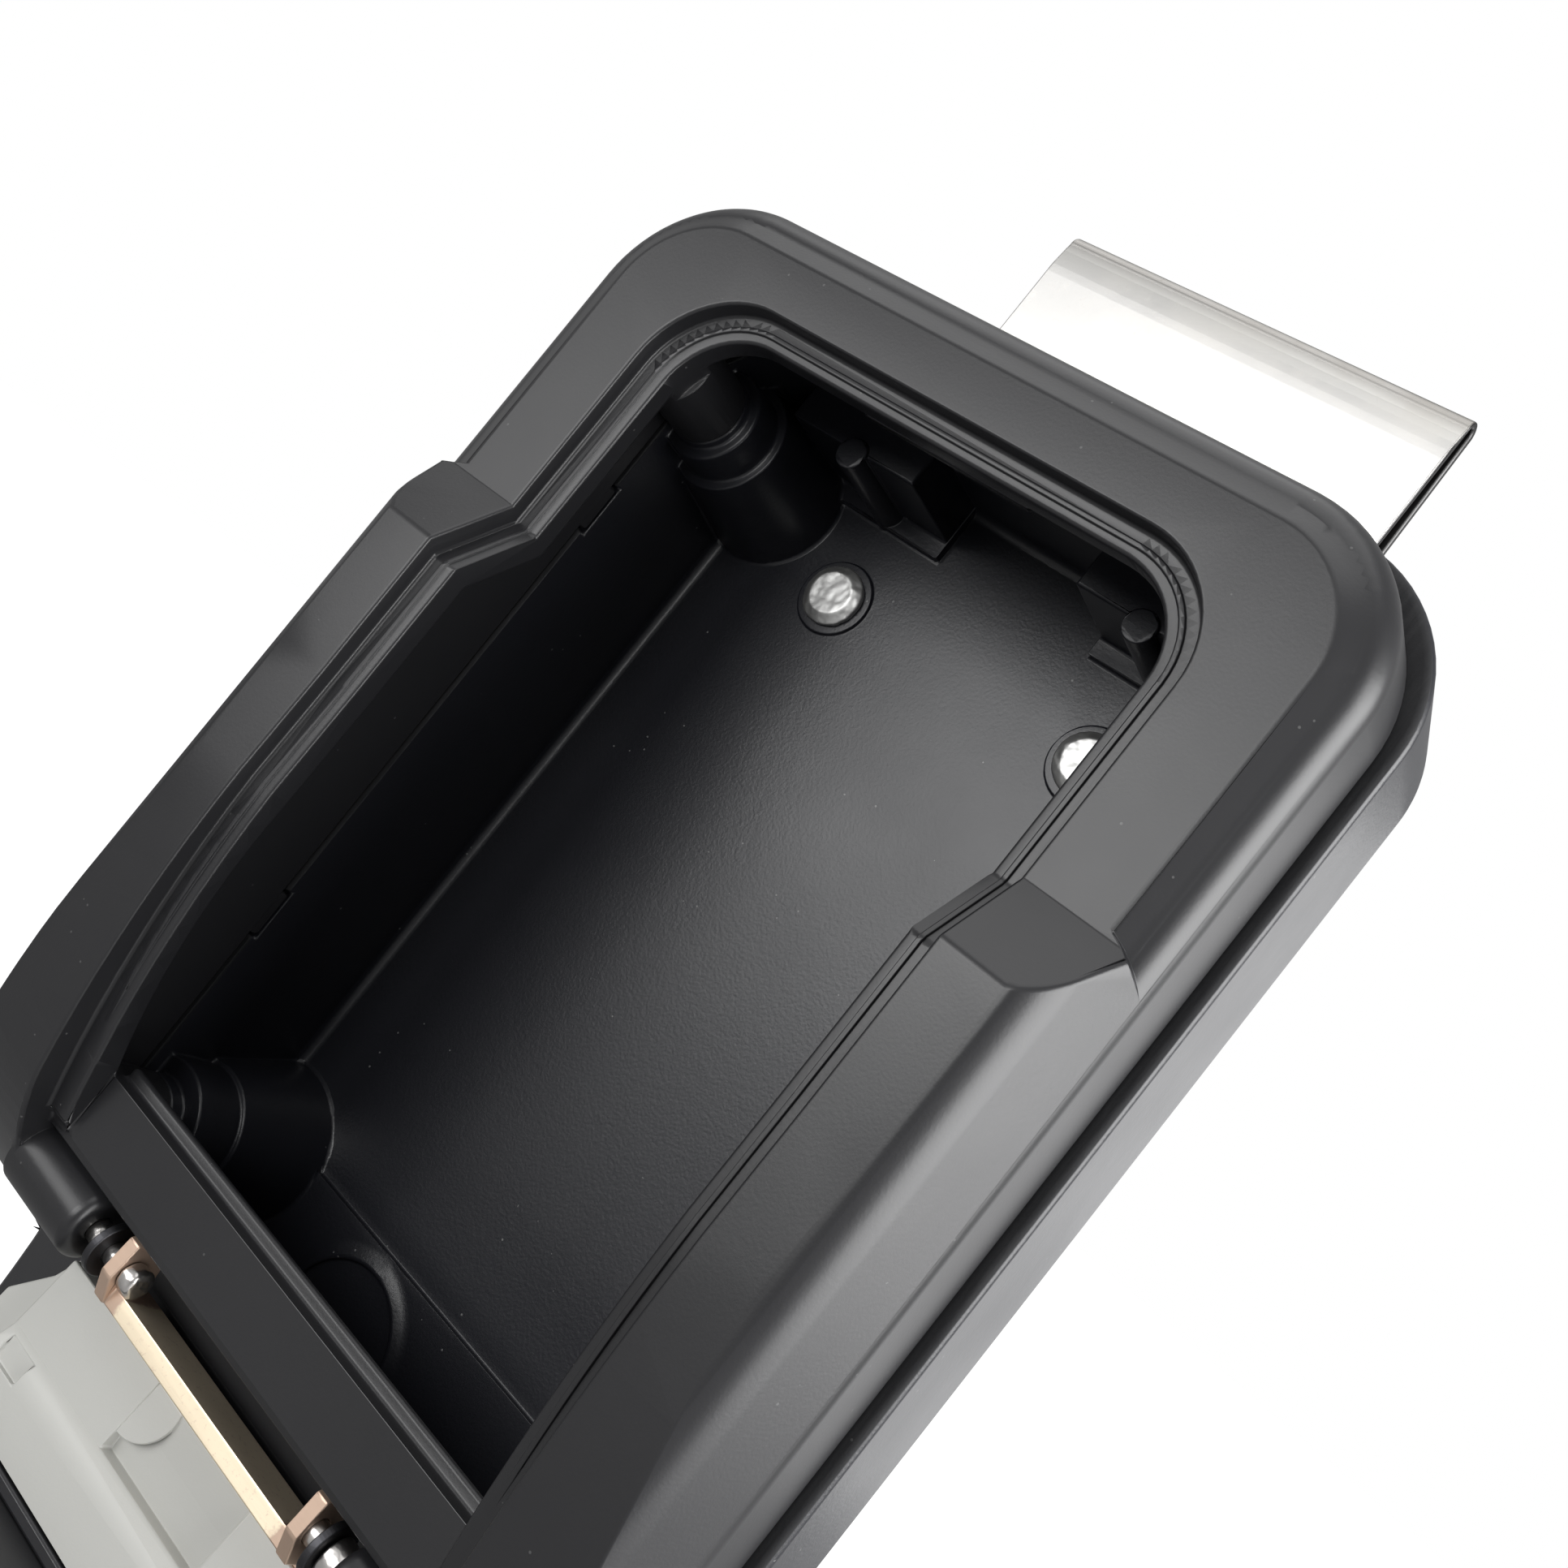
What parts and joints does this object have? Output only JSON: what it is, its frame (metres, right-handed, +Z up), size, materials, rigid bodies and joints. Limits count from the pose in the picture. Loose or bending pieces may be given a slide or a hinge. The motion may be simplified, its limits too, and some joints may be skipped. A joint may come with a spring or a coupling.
{
  "type": "car key lockbox",
  "caption": "Key lockbox that hangs over a car's window glass: deep rounded case, steel hook, drop-down lid with number dials and a sliding latch.",
  "frame": {"origin": "the saddle of the hook: the middle of the inside of its fold, where the top edge of the window glass comes", "axes": "+Z up, away from the case; +Y to the back, from the lid side to the glass side; +X to the right seen from the front"},
  "size_m": [0.109, 0.0683, 0.2988],
  "materials": {
    "front_plastic": "fine matt black, moulded",
    "cast_black": "black textured paint on a casting",
    "seal_rubber": "matt black",
    "screw_steel": "plain steel",
    "hook_steel": "satin stainless sheet",
    "latch_steel": "bright zinc plated",
    "bracket_zinc": "yellow zinc plate, bare cut edges",
    "lid_black": "satin black",
    "pan_black": "matt black",
    "cover_grey": "light warm grey",
    "bezel_grey": "dark grey",
    "dial_black": "satin black",
    "cam_brass": "plain brass"
  },
  "bodies": {
    "case": {"front_housing": "front_plastic", "back_housing": "cast_black", "seam_seal": "seal_rubber", "case_screws": "screw_steel", "window_hook": "hook_steel", "hook_rivets": "hook_steel", "back_pad": "seal_rubber", "latch_strike": "latch_steel", "strike_screws": "screw_steel", "hinge_pins": "screw_steel", "pin_washers": "screw_steel"},
    "lid": {"lid_shell": "lid_black", "dial_bezel": "bezel_grey", "inner_pan": "pan_black", "pan_screws": "screw_steel", "hinge_cover": "cover_grey", "hinge_bracket": "bracket_zinc", "bracket_rivets": "bracket_zinc", "dial_axle": "screw_steel", "detent_spring": "latch_steel", "latch_guide": "pan_black"},
    "latch": {"latch_bolt": "latch_steel", "release_slider": "bezel_grey", "lock_bar": "latch_steel", "latch_springs": "latch_steel"},
    "lever": {"code_lever": "bezel_grey"},
    "dial_1_body": {"dial_1": "dial_black", "code_cam_1": "cam_brass"},
    "dial_2_body": {"dial_2": "dial_black", "code_cam_2": "cam_brass"},
    "dial_3_body": {"dial_3": "dial_black", "code_cam_3": "cam_brass"},
    "dial_4_body": {"dial_4": "dial_black", "code_cam_4": "cam_brass"}
  },
  "joints": [
    {"name": "lid_hinge", "type": "hinge", "parent": "case", "child": "lid", "pos_m": [0, -0.037, -0.1713], "axis": [1, 0, 0], "range_deg": [-172, 0]},
    {"name": "dial_1_turn", "type": "hinge", "parent": "lid", "child": "dial_1_body", "pos_m": [-0.0135, -0.03872, -0.2367], "axis": [1, 0, 0], "continuous": true},
    {"name": "dial_2_turn", "type": "hinge", "parent": "lid", "child": "dial_2_body", "pos_m": [-0.0045, -0.03872, -0.2367], "axis": [1, 0, 0], "continuous": true},
    {"name": "dial_3_turn", "type": "hinge", "parent": "lid", "child": "dial_3_body", "pos_m": [0.0045, -0.03872, -0.2367], "axis": [1, 0, 0], "continuous": true},
    {"name": "dial_4_turn", "type": "hinge", "parent": "lid", "child": "dial_4_body", "pos_m": [0.0135, -0.03872, -0.2367], "axis": [1, 0, 0], "continuous": true},
    {"name": "latch_slide", "type": "slide", "parent": "lid", "child": "latch", "axis": [0, 0.1392, 0.9903], "range_m": [0, 0.0034], "stiffness_N_per_m": 350, "springref_m": -0.004},
    {"name": "code_lever_turn", "type": "hinge", "parent": "lid", "child": "lever", "pos_m": [0.016, -0.05489, -0.2627], "axis": [0, -0.9903, 0.1392], "range_deg": [0, 60]}
  ]
}
